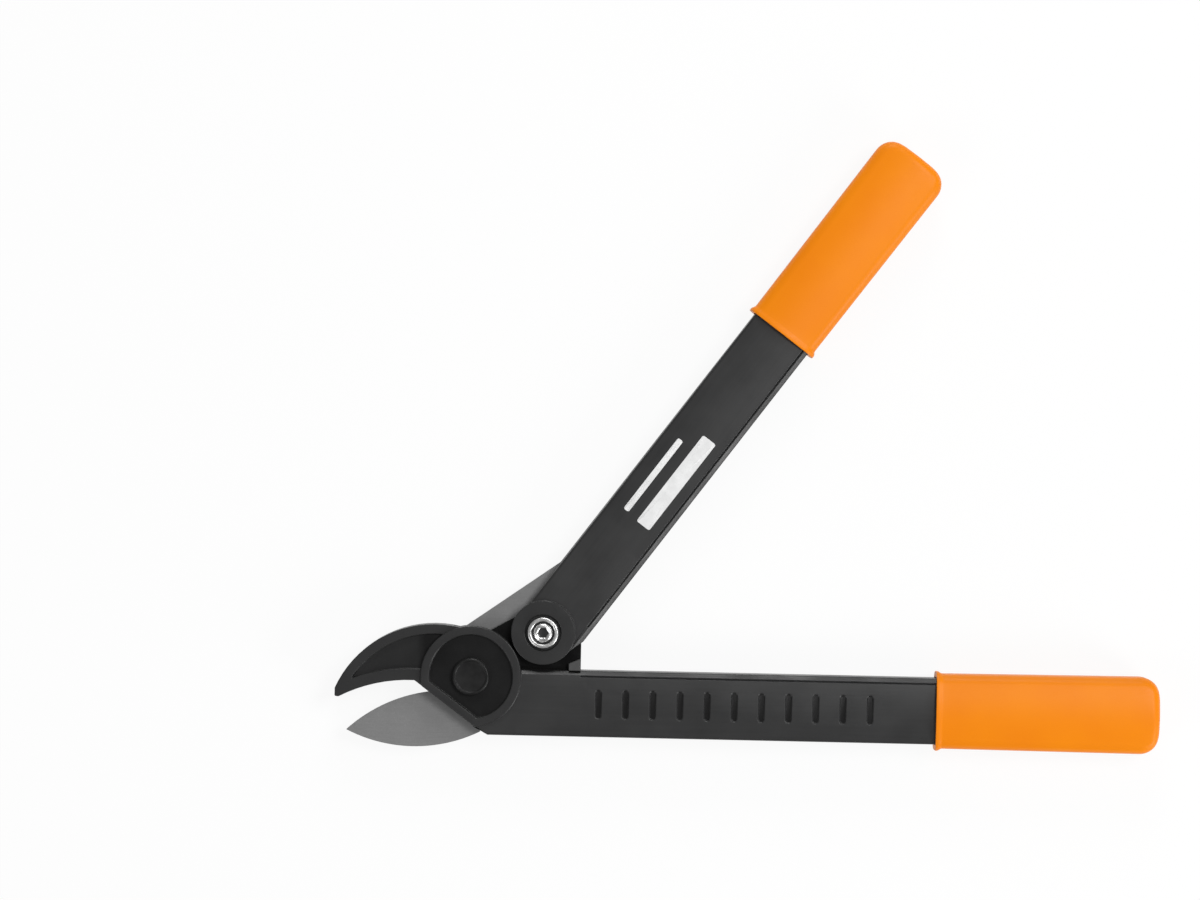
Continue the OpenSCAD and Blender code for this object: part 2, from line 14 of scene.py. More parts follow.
import bmesh
import bpy
import numpy as np
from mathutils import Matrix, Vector


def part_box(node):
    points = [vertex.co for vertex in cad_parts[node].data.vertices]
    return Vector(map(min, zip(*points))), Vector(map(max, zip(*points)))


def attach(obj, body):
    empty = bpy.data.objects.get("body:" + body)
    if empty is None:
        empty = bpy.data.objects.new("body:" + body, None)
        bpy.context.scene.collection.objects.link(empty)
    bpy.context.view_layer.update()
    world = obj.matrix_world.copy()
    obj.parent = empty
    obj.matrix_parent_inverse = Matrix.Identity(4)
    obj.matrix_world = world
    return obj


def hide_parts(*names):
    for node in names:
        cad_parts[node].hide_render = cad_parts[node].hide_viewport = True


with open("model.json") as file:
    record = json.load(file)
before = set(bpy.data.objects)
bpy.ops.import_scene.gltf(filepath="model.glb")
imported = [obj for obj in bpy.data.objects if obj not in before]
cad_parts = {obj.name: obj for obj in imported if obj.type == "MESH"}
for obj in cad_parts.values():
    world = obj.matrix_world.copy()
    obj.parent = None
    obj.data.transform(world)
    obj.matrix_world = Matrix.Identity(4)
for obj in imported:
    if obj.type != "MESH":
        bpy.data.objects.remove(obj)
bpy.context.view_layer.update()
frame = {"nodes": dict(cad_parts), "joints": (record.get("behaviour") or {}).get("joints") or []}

LOG = logging.getLogger("lopper")
# Metres in a millimetre: every size below is in millimetres, and the meshes are in metres
MM = 0.001
# Points nearer than this, in metres, are one point
WELD = 1e-6
# Faces that meet at less than this, in degrees, are one flat face
FLAT = 0.02
# Edges of a copied solid that turn by more degrees than this stay crisp
CRISP = 30.0
# Edges of a copied solid that turn by more degrees than this are rounded
ROUNDED = 32.0
# Segments of that rounding
ROUNDED_STEPS = 2
# How far large faces keep their own normals beside the rounding, out of 100
FACE_WEIGHT = 80
# Columns of every turned surface
ROUND = 96
# Points on the corner curves that show most
FINE_STEPS = 8
# Sides whose cosine to a direction is below this don't face that way
EDGE_ON = 1e-6
# Octaves of the richer noises, where the others have two
RICH = 3

Colour = tuple[float, float, float]
Pair = tuple[float, float]
# Bright plated steel, and the tone of its dull patches
BRIGHT: Colour = (0.86, 0.86, 0.85)
BRIGHT_DULLED: Colour = (0.66, 0.66, 0.66)


class Body(Enum):
    """The three bodies that the pieces ride on."""

    HOOK = "hook_side"
    BLADE = "blade_side"
    UPPER = "upper_side"


class Slot(Enum):
    """The record's material slots."""

    NYLON = "nylon"
    GRIP = "grip"
    BLACK_STEEL = "black_steel"
    STEEL = "steel"
    BRIGHT_STEEL = "bright_steel"
    BLADE_STEEL = "blade_steel"
    SPACER = "spacer"
    BUFFER = "buffer"


def metres(pair: Pair) -> Pair:
    """Two millimetre sizes in metres."""
    return pair[0] * MM, pair[1] * MM


class Graph:
    """A material's node graph, with a short way to add nodes."""

    def __init__(self, name: str) -> None:
        """Starts a material with one principled shader.

        Args:
            name: the material's name.
        """
        self.material = bpy.data.materials.new(name)
        self.material.use_nodes = True
        self.tree = self.material.node_tree
        self.shader = self.tree.nodes["Principled BSDF"]
        self.output = self.tree.nodes["Material Output"]
        self.place = self.node("ShaderNodeTexCoord").outputs["Object"]

    def node(self, kind: str, inputs: dict[Any, Any] | None = None, **settings: Any) -> bpy.types.Node:
        """Adds a node.

        Args:
            kind: the node's type.
            inputs: values or sockets for its inputs, by name or number.
            settings: values for its own properties.

        Returns:
            The new node.
        """
        made = self.tree.nodes.new(kind)
        for key, value in settings.items():
            setattr(made, key, value)
        for key, value in (inputs or {}).items():
            self.feed(made.inputs[key], value)
        return made

    def feed(self, socket: bpy.types.NodeSocket, value: Any) -> None:
        """Links a socket to another one, or sets its value."""
        if isinstance(value, bpy.types.NodeSocket):
            self.tree.links.new(value, socket)
        else:
            socket.default_value = value

    def dress(self, **inputs: Any) -> None:
        """Feeds the shader's inputs, written with underscores for spaces."""
        for key, value in inputs.items():
            self.feed(self.shader.inputs[key.replace("_", " ")], value)

    def local(self, pivot: Pair, angle: float, middle: float, stretch: Colour = (1, 1, 1)) -> Any:
        """Object coordinates in a frame of their own.

        Args:
            pivot: where the frame stands, in millimetres.
            angle: its turn about the upright axis, in radians.
            middle: the height of its own zero, in millimetres.
            stretch: how many times longer its units are along each axis.

        Returns:
            The coordinates' socket.
        """
        at = (*metres(pivot), middle * MM)
        keys = {"Vector": self.place, "Location": at, "Rotation": (0, 0, angle), "Scale": stretch}
        return self.node("ShaderNodeMapping", keys, vector_type="TEXTURE").outputs[0]

    def axes(self, vector: Any) -> Any:
        """The three sockets of a vector's parts."""
        return self.node("ShaderNodeSeparateXYZ", {"Vector": vector}).outputs

    def noise(self, size: float, detail: float = 2.0, place: Any = None) -> Any:
        """Grey noise.

        Args:
            size: the width of one blotch in millimetres.
            detail: the octaves of finer noise on it.
            place: its coordinates, if not the Object coordinates.

        Returns:
            The noise's value socket.
        """
        keys = {"Vector": place or self.place, "Scale": 1 / (size * MM), "Detail": detail}
        return self.node("ShaderNodeTexNoise", keys).outputs["Fac"]

    def sum(self, kind: str, first: Any, second: Any = 0.0) -> Any:
        """The result of a Math node of that kind on two values."""
        return self.node("ShaderNodeMath", {0: first, 1: second}, operation=kind).outputs[0]

    def upright(self) -> Any:
        """How much a face looks to the front or the back, from nothing to one."""
        facing = self.node("ShaderNodeNewGeometry").outputs["True Normal"]
        return self.sum("ABSOLUTE", self.axes(facing)["Z"])

    def spread(self, value: Any, low: float, high: float, start: float = 0.3, end: float = 0.7) -> Any:
        """Maps a value from start..end to low..high, held at both ends.

        Args:
            value: the socket to map.
            low: the result at start.
            high: the result at end.
            start: the value that gives low.
            end: the value that gives high.

        Returns:
            The mapped socket.
        """
        keys = {"Value": value, "From Min": start, "From Max": end, "To Min": low, "To Max": high}
        return self.node("ShaderNodeMapRange", keys).outputs[0]

    def blend(self, share: Any, first: Any, second: Any) -> Any:
        """Mixes two colours.

        Args:
            share: how much of the second colour shows, a number or a socket.
            first: a colour or a socket.
            second: a colour or a socket.

        Returns:
            The mixed colour's socket.
        """
        made = self.node("ShaderNodeMix", data_type="RGBA")
        for number, value in ((0, share), (6, first), (7, second)):
            whole = isinstance(value, tuple) and len(value) == 3
            self.feed(made.inputs[number], (*value, 1) if whole else value)
        return made.outputs[2]

    def bump(self, height: Any, depth: float, strength: float, under: Any = None) -> Any:
        """A bump from a height between 0 and 1.

        Args:
            height: the height's socket.
            depth: the height in millimetres that 1 stands for.
            strength: the share of it that shows.
            under: the normal of a bump below this one.

        Returns:
            The normal's socket.
        """
        keys = {"Height": height, "Distance": depth * MM, "Strength": strength}
        made = self.node("ShaderNodeBump", keys)
        if under is not None:
            self.feed(made.inputs["Normal"], under)
        return made.outputs[0]


@dataclass(frozen=True)
class Finish:
    """A finish that makes its material once.

    Widths and the grain are in millimetres, shares say how much of another tone shows, and a relief is
    the depth of a bump with the strength that it shows with. The roughness wanders between two changes.
    """

    name: str
    colour: Colour
    roughness: float
    grain: float = 0.4
    wander: Pair = (-0.06, 0.06)

    def material(self) -> bpy.types.Material:
        """The material of this finish, made the first time it is asked for."""
        found = bpy.data.materials.get(self.name)
        return found or self.build(Graph(self.name))

    def build(self, graph: Graph) -> bpy.types.Material:
        """Builds the nodes of the finish into a graph and returns its material."""
        raise NotImplementedError

    def dulled(self, graph: Graph, mottle: Any) -> Any:
        """The roughness, which wanders with a mottle."""
        return graph.spread(mottle, *(self.roughness + change for change in self.wander))


@dataclass(frozen=True)
class HandleFinish(Finish):
    """A finish that follows a handle, whose front and back faces are slightly crowned."""

    pivot: Pair = (0.0, 0.0)
    angle: float = 0.0
    middle: Pair = (-13.0, 13.0)
    crown: float = 1.5
    crown_run: Pair = (24.0, 60.0)
    half_width: float = 17.0
    crowned_facing: Pair = (0.9, 0.97)

    def crowned(self, graph: Graph) -> Any:
        """The normal of faces that fall away with the square of the distance from the handle's middle.

        Only faces that look to the front or the back are crowned.

        Args:
            graph: the material's graph.

        Returns:
            The normal's socket.
        """
        across, up = self.middle
        x, y, _ = graph.axes(graph.local(self.pivot, self.angle, up))
        aside = graph.sum("ADD", y, -across * MM)
        square = graph.sum("MULTIPLY", aside, aside)
        fall = graph.sum("MULTIPLY", square, graph.spread(x, 0, 1, *metres(self.crown_run)))
        height = graph.sum("MULTIPLY", fall, -self.crown / (self.half_width**2 * MM))
        flat = graph.spread(graph.upright(), 0, 1, *self.crowned_facing)
        keys = {"Height": height, "Distance": 1.0, "Strength": flat}
        return graph.node("ShaderNodeBump", keys).outputs[0]


@dataclass(frozen=True)
class MouldedNylon(HandleFinish):
    """Glass-filled nylon: a fine moulded grain and faint flow lines, with painted shade in the recesses
    and painted shadow in the deepest gaps.
    """

    wander: Pair = (-0.05, 0.07)
    joint_colour: Colour = (0.024, 0.024, 0.0243)
    joint_end: Pair = (0.0, 6.0)
    raised_level: Pair = (9.3, 9.8)
    # Painted shade: the tones, and the heights below which the recesses, the hook's panel and the deep
    # gaps are darkened
    recess_shade_colour: Colour = (0.002, 0.002, 0.0021)
    panel_shade_colour: Colour = (0.014, 0.014, 0.0142)
    panel_end: Pair = (-28.0, -24.0)
    recess_shade_level: Pair = (8.2, 8.9)
    gap_shadow_colour: Colour = (0.0006, 0.0006, 0.0006)
    gap_shadow_level: Pair = (6.0, 6.6)
    sunk_facing: Pair = (0.4, 0.8)
    paler: float = 1.5
    flow_width: float = 1.4
    flow_stretch: float = 30.0
    flow_share: float = 0.3
    flow_relief: Pair = (0.05, 0.2)
    cloud_width: float = 22.0
    cloud_share: float = 0.2
    speck_share: float = 0.1
    speck_range: Pair = (0.5, 0.72)
    grain_relief: Pair = (0.06, 0.2)
    specular: float = 0.35

    def build(self, graph: Graph) -> bpy.types.Material:
        """The hook and all raised faces are darker than the handle, and sunk faces get painted shade,
        darker still.
        """
        up = self.middle[1]
        x, _, z = graph.axes(graph.local(self.pivot, self.angle, up))
        along_handle = graph.local(self.pivot, self.angle, up, (self.flow_stretch, 1, 1))
        flow = graph.noise(self.flow_width, RICH, along_handle)
        cloud = graph.noise(self.cloud_width, RICH)
        grain = graph.noise(self.grain)
        level = graph.spread(graph.sum("ABSOLUTE", z), 1, 0, *metres(self.raised_level))
        along = graph.sum("MINIMUM", graph.spread(x, 0, 1, *metres(self.joint_end)), level)
        toned = graph.blend(along, self.joint_colour, self.colour)
        pale = tuple(c * self.paler for c in self.colour)
        for mottle, share in ((flow, self.flow_share), (cloud, self.cloud_share)):
            toned = graph.blend(graph.sum("MULTIPLY", along, graph.spread(mottle, 0, share)), toned, pale)
        inside = graph.spread(x, 0, 1, *metres(self.panel_end))
        recess_shade = graph.blend(inside, self.panel_shade_colour, self.recess_shade_colour)
        # Painted shade: sunk faces are darkened, and the deepest ones are painted near black as shadow
        for colour, level in ((recess_shade, self.recess_shade_level), (self.gap_shadow_colour, self.gap_shadow_level)):
            toned = graph.blend(self.sunk(graph, z, level), toned, colour)
        toned = graph.blend(graph.spread(grain, 0, self.speck_share, *self.speck_range), toned, pale)
        rough = graph.sum("MAXIMUM", self.dulled(graph, cloud), self.sunk(graph, z, self.gap_shadow_level))
        normal = graph.bump(grain, *self.grain_relief, self.crowned(graph))
        normal = graph.bump(flow, *self.flow_relief, normal)
        graph.dress(Base_Color=toned, Roughness=rough, Normal=normal, Specular_IOR_Level=self.specular)
        return graph.material

    def sunk(self, graph: Graph, height: Any, level: Pair) -> Any:
        """The share by which a face that looks to the front or the back lies below a level.

        Args:
            graph: the material's graph.
            height: the height above the middle plane.
            level: the heights at which the share is one and nothing.

        Returns:
            The share's socket.
        """
        below = graph.spread(graph.sum("ABSOLUTE", height), 1, 0, *metres(level))
        return graph.sum("MULTIPLY", below, graph.spread(graph.upright(), 0, 1, *self.sunk_facing))


@dataclass(frozen=True)
class GripVinyl(HandleFinish):
    """Soft orange vinyl: slight mottling, a fine leathery grain and a dull sheen."""

    wander: Pair = (-0.06, 0.08)
    deep: Colour = (0.8, 0.19, 0.001)
    cloud_width: float = 30.0
    cloud_share: float = 0.35
    cloud_relief: Pair = (0.5, 0.08)
    grain_share: float = 0.14
    grain_relief: Pair = (0.05, 0.3)
    specular: float = 0.2

    def build(self, graph: Graph) -> bpy.types.Material:
        """The colour wanders between a clear and a deeper orange, and the grain dulls it a little."""
        cloud = graph.noise(self.cloud_width, RICH)
        fine = graph.noise(self.grain, RICH)
        toned = graph.blend(graph.spread(cloud, 0, self.cloud_share), self.colour, self.deep)
        toned = graph.blend(graph.spread(fine, 0, self.grain_share), toned, self.deep)
        rough = self.dulled(graph, fine)
        normal = graph.bump(fine, *self.grain_relief, self.crowned(graph))
        normal = graph.bump(cloud, *self.cloud_relief, normal)
        graph.dress(Base_Color=toned, Roughness=rough, Normal=normal, Specular_IOR_Level=self.specular)
        return graph.material


@dataclass(frozen=True)
class CoatedSteel(Finish):
    """Steel under a matt grey coating with a fine speckle and faint grinding lines."""

    wander: Pair = (-0.08, 0.08)
    speckle: Colour = (0.3, 0.3, 0.3)
    speckle_share: float = 0.5
    speckle_range: Pair = (0.45, 0.75)
    line_width: float = 0.5
    line_stretch: float = 24.0
    line_share: float = 0.2
    line_relief: Pair = (0.02, 0.3)
    cloud_width: float = 14.0
    cloud_share: float = 0.3
    darker: float = 0.8
    grain_relief: Pair = (0.03, 0.4)
    metallic: float = 0.35

    def build(self, graph: Graph) -> bpy.types.Material:
        """A pale speckle and grinding lines lie over an even grey."""
        fine = graph.noise(self.grain)
        along_blade = graph.local((0, 0), 0, 0, (self.line_stretch, 1, 1))
        lines = graph.noise(self.line_width, place=along_blade)
        cloud = graph.noise(self.cloud_width, RICH)
        dark = tuple(c * self.darker for c in self.colour)
        specks = graph.spread(fine, 0, self.speckle_share, *self.speckle_range)
        toned = graph.blend(specks, self.colour, self.speckle)
        toned = graph.blend(graph.spread(lines, 0, self.line_share), toned, self.speckle)
        toned = graph.blend(graph.spread(cloud, 0, self.cloud_share), toned, dark)
        rough = self.dulled(graph, fine)
        normal = graph.bump(lines, *self.line_relief, graph.bump(fine, *self.grain_relief))
        graph.dress(Base_Color=toned, Roughness=rough, Normal=normal, Metallic=self.metallic)
        return graph.material


@dataclass(frozen=True)
class BareMetal(Finish):
    """Turned metal: rings from the tool, a fine grain and a few dull patches.

    Painted shade darkens what lies deeper than the second of two heights, and most of all below the
    first.
    """

    wander: Pair = (-0.04, 0.08)
    metallic: float = 1.0
    tint: Colour = (0.5, 0.5, 0.5)
    patch_width: float = 4.0
    patch_share: float = 0.4
    ring_stretch: float = 4.0
    ring_share: float = 0.2
    ring_relief: Pair = (0.02, 0.1)
    specular: float = 0.5
    # Painted shade in a groove or socket: the two heights, and its tone
    depth_shade: Pair | None = None
    depth_shade_colour: Colour = (0.09, 0.09, 0.09)

    def build(self, graph: Graph) -> bpy.types.Material:
        """Dull patches and a fine grain change the roughness and the colour."""
        cloud = graph.noise(self.patch_width, RICH)
        upwards = graph.local((0, 0), 0, 0, (1, 1, self.ring_stretch))
        fine = graph.noise(self.grain, place=upwards)
        toned = graph.blend(graph.spread(cloud, 0, self.patch_share), self.colour, self.tint)
        toned = graph.blend(graph.spread(fine, 0, self.ring_share), toned, self.tint)
        if self.depth_shade:
            # Painted shade: faces below the heights are darkened
            unshaded = graph.spread(graph.axes(graph.place)["Z"], 0, 1, *metres(self.depth_shade))
            toned = graph.blend(unshaded, self.depth_shade_colour, toned)
        rough = self.dulled(graph, cloud)
        normal = graph.bump(fine, *self.ring_relief)
        graph.dress(Base_Color=toned, Roughness=rough, Normal=normal, Metallic=self.metallic)
        graph.dress(Specular_IOR_Level=self.specular)
        return graph.material


@dataclass(frozen=True)
class DullSolid(Finish):
    """A plain moulded or printed material: cloudy colour and a fine grain."""

    worn: Colour = (0.1, 0.1, 0.1)
    cloud_width: float = 5.0
    cloud_share: float = 0.25
    speck_share: float = 0.25
    speck_range: Pair = (0.55, 0.8)
    grain_relief: Pair = (0.05, 0.4)

    def build(self, graph: Graph) -> bpy.types.Material:
        """A worn tone shows through in clouds and specks."""
        cloud = graph.noise(self.cloud_width, RICH)
        fine = graph.noise(self.grain)
        toned = graph.blend(graph.spread(cloud, 0, self.cloud_share), self.colour, self.worn)
        specks = graph.spread(fine, 0, self.speck_share, *self.speck_range)
        toned = graph.blend(specks, toned, self.worn)
        normal = graph.bump(fine, *self.grain_relief)
        graph.dress(Base_Color=toned, Roughness=self.dulled(graph, fine), Normal=normal)
        return graph.material


def skin(name: str, grid: np.ndarray, loop: bool) -> bpy.types.Mesh:
    """Makes a closed mesh from a grid of points whose columns run round the piece.

    The face at row i and column j joins (i, j), (i, j+1), (i+1, j+1) and (i+1, j). Columns wrap, and so
    do the rows of a loop. A first or last row that is one point becomes a pole.

    Args:
        name: the mesh's name.
        grid: rows of points in millimetres.
        loop: whether the last row joins the first.

    Returns:
        The mesh, in metres.
    """
    rows, columns = grid.shape[:2]
    index = np.arange(rows * columns).reshape(rows, columns)
    near = index if loop else index[:-1]
    far = np.roll(index, -1, axis=0)[: len(near)]
    quads = np.stack([near, np.roll(near, -1, 1), np.roll(far, -1, 1), far], axis=-1)
    mesh = bpy.data.meshes.new(name)
    mesh.from_pydata((grid.reshape(-1, 3) * MM).tolist(), [], quads.reshape(-1, 4).tolist())
    form = bmesh.new()
    form.from_mesh(mesh)
    bmesh.ops.remove_doubles(form, verts=form.verts, dist=WELD)
    bmesh.ops.recalc_face_normals(form, faces=form.faces)
    form.to_mesh(mesh)
    form.free()
    return mesh


def eased(corners: np.ndarray, ease: float | np.ndarray, loop: bool, steps: int = 6) -> np.ndarray:
    """Rounds the corners of an outline.

    Each corner c becomes the curve (1-t)^2 a + 2t(1-t) c + t^2 b, where a and b lie on its two sides,
    the ease or half a side away from it, whichever is less.

    Args:
        corners: the outline's corners, one row each.
        ease: the ease of all corners or of each.
        loop: whether the outline is closed. An open one keeps its two ends.
        steps: points on each curve.

    Returns:
        The points of the rounded outline.
    """
    before = np.roll(corners, 1, axis=0) - corners
    after = np.roll(corners, -1, axis=0) - corners
    sides = [np.linalg.norm(side, axis=1, keepdims=True) for side in (before, after)]
    reach = np.broadcast_to(ease, len(corners))[:, None]
    first = corners + before / sides[0] * np.minimum(reach, sides[0] / 2)
    last = corners + after / sides[1] * np.minimum(reach, sides[1] / 2)
    t = np.linspace(0, 1, steps)[None, :, None]
    curve = (1 - t) ** 2 * first[:, None] + 2 * t * (1 - t) * corners[:, None] + t**2 * last[:, None]
    if loop:
        return curve.reshape(-1, corners.shape[1])
    return np.vstack([corners[:1], curve[1:-1].reshape(-1, corners.shape[1]), corners[-1:]])


def turned(profile: np.ndarray, centre: Pair) -> np.ndarray:
    """Carries a profile round an upright axis.

    A profile point (r, z, h) gives the circle x = cx + R cos a, y = cy + R sin a at height z. Its radius
    R goes from r, where h is 0, to the hexagon r / cos(a mod 60 deg - 30 deg), where h is 1.

    Args:
        profile: rows of radius, height and share of hexagon. The share may be left out.
        centre: the axis in millimetres.

    Returns:
        The grid of points, a row for each profile point.
    """
    angle = np.linspace(0, 2 * np.pi, ROUND, endpoint=False)
    share = profile[:, 2:3] if profile.shape[1] > 2 else np.zeros((len(profile), 1))
    hexagon = 1 / np.cos(np.mod(angle, np.pi / 3) - np.pi / 6)
    radius = profile[:, :1] * (1 + share * (hexagon - 1))
    x, y = centre[0] + radius * np.cos(angle), centre[1] + radius * np.sin(angle)
    return np.stack([x, y, np.broadcast_to(profile[:, 1:2], radius.shape)], axis=-1)


def shown(
    obj: bpy.types.Object, node: str | None, body: Body, finish: Finish
) -> None:
    """Dresses a piece, puts it on its body and lets it stand for its solid.

    Args:
        obj: the piece.
        node: the solid that it stands for, if any.
        body: the body that it rides on.
        finish: its finish.
    """
    obj.data.materials.clear()
    obj.data.materials.append(finish.material())
    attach(obj, body.value)
    if node:
        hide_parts(node)
    LOG.info("%s: %d faces, on %s", obj.name, len(obj.data.polygons), body.value)


def put(name: str, mesh: bpy.types.Mesh, sharp: float = 40.0) -> bpy.types.Object:
    """Links a mesh into the scene as a smooth piece.

    Args:
        name: the piece's name.
        mesh: its mesh.
        sharp: edges that turn by more degrees than this stay crisp.

    Returns:
        The new object, at the origin.
    """
    mesh.shade_smooth()
    mesh.set_sharp_from_angle(angle=math.radians(sharp))
    obj = bpy.data.objects.new(name, mesh)
    bpy.context.scene.collection.objects.link(obj)
    return obj


def eased_copy(node: str, name: str, ease: float) -> bpy.types.Object:
    """Copies a solid, merges its triangles into whole faces and rounds its edges.

    Args:
        node: the solid.
        name: the copy's name.
        ease: the width of the rounding in millimetres.

    Returns:
        The copy, with a live bevel.
    """
    mesh = frame["nodes"][node].data.copy()
    mesh.name = name
    form = bmesh.new()
    form.from_mesh(mesh)
    bmesh.ops.remove_doubles(form, verts=form.verts, dist=WELD)
    bmesh.ops.dissolve_limit(form, angle_limit=math.radians(FLAT), verts=form.verts, edges=form.edges)
    form.to_mesh(mesh)
    form.free()
    obj = put(name, mesh, CRISP)
    bevel = obj.modifiers.new("eased_edges", "BEVEL")
    bevel.width = ease * MM
    bevel.segments = ROUNDED_STEPS
    bevel.limit_method = "ANGLE"
    bevel.angle_limit = math.radians(ROUNDED)
    bevel.use_clamp_overlap = False
    bevel.loop_slide = False
    flat = obj.modifiers.new("flat_faces", "WEIGHTED_NORMAL")
    flat.mode = "FACE_AREA"
    flat.weight = FACE_WEIGHT
    return obj


@dataclass(frozen=True)
class Place:
    """A handle's own frame, whose X runs along the handle from its pivot.

    Inner is 1 where the handle's inner edge lies to the left of X, and -1 where it lies to the right.
    """

    pivot: Pair
    angle: float
    inner: int

    def to_frame(self, points: np.ndarray) -> np.ndarray:
        """Turns points of the handle's frame by its angle and moves them to its pivot.

        Args:
            points: points whose Y is positive towards the inner edge.

        Returns:
            The same points in the part's frame.
        """
        x, y, z = np.moveaxis(points, -1, 0)
        side = y * self.inner
        c, s = math.cos(self.angle), math.sin(self.angle)
        return np.stack([self.pivot[0] + x * c - side * s, self.pivot[1] + x * s + side * c, z], axis=-1)

    def box(self, node: str) -> tuple[np.ndarray, np.ndarray]:
        """The lowest and highest corner of a solid in the handle's frame.

        Args:
            node: the solid.

        Returns:
            The two corners in millimetres.
        """
        mesh = frame["nodes"][node].data
        flat = np.empty(3 * len(mesh.vertices), np.float32)
        mesh.vertices.foreach_get("co", flat)
        x, y, z = (flat.reshape(-1, 3) / MM).T
        x, y = x - self.pivot[0], y - self.pivot[1]
        c, s = math.cos(self.angle), math.sin(self.angle)
        local = np.stack([x * c + y * s, (y * c - x * s) * self.inner, z], axis=-1)
        return local.min(axis=0), local.max(axis=0)

    def middle(self, node: str) -> Pair:
        """How far a solid's middle lies to the left of the handle's axis and above the floor.

        Args:
            node: the solid.

        Returns:
            The two places in millimetres.
        """
        low, high = self.box(node)
        return self.inner * (low[1] + high[1]) / 2, (low[2] + high[2]) / 2


@dataclass(frozen=True)
class HandleSection:
    """The section of both handles, about its middle, with Y towards the inner edge."""

    width: float = 34.0
    thickness: float = 18.0
    bevel_width: float = 2.5
    bevel_depth: float = 1.6
    chamfer: float = 1.0

    def reach(self, angle: np.ndarray, gap: float) -> np.ndarray:
        """The distance from the middle to the section's edge, grown by a gap.

        The section is where all its eight sides hold, so in a direction u the edge is at the least
        d / (n . u) of the sides with outward normal n and distance d that face that way.

        Args:
            angle: directions in radians, from the inner edge.
            gap: how far the sides stand off.

        Returns:
            The distances.
        """
        w, t = self.width / 2, self.thickness / 2
        bevel = np.array([self.bevel_depth, self.bevel_width])
        bevel = bevel / np.linalg.norm(bevel)
        slant = np.array([-1, 1]) / math.sqrt(2)
        corner = np.array([w, t - self.bevel_depth])
        back = np.array([-w, t - self.chamfer])
        flip = np.array([1, -1])
        normals = np.array([[1, 0], [-1, 0], [0, 1], [0, -1], bevel, bevel * flip, slant, slant * flip])
        away = np.array([w, w, t, t, bevel @ corner, bevel @ corner, slant @ back, slant @ back]) + gap
        facing = np.stack([np.cos(angle), np.sin(angle)], axis=-1) @ normals.T
        return np.where(facing > EDGE_ON, away / np.maximum(facing, EDGE_ON), np.inf).min(axis=-1)


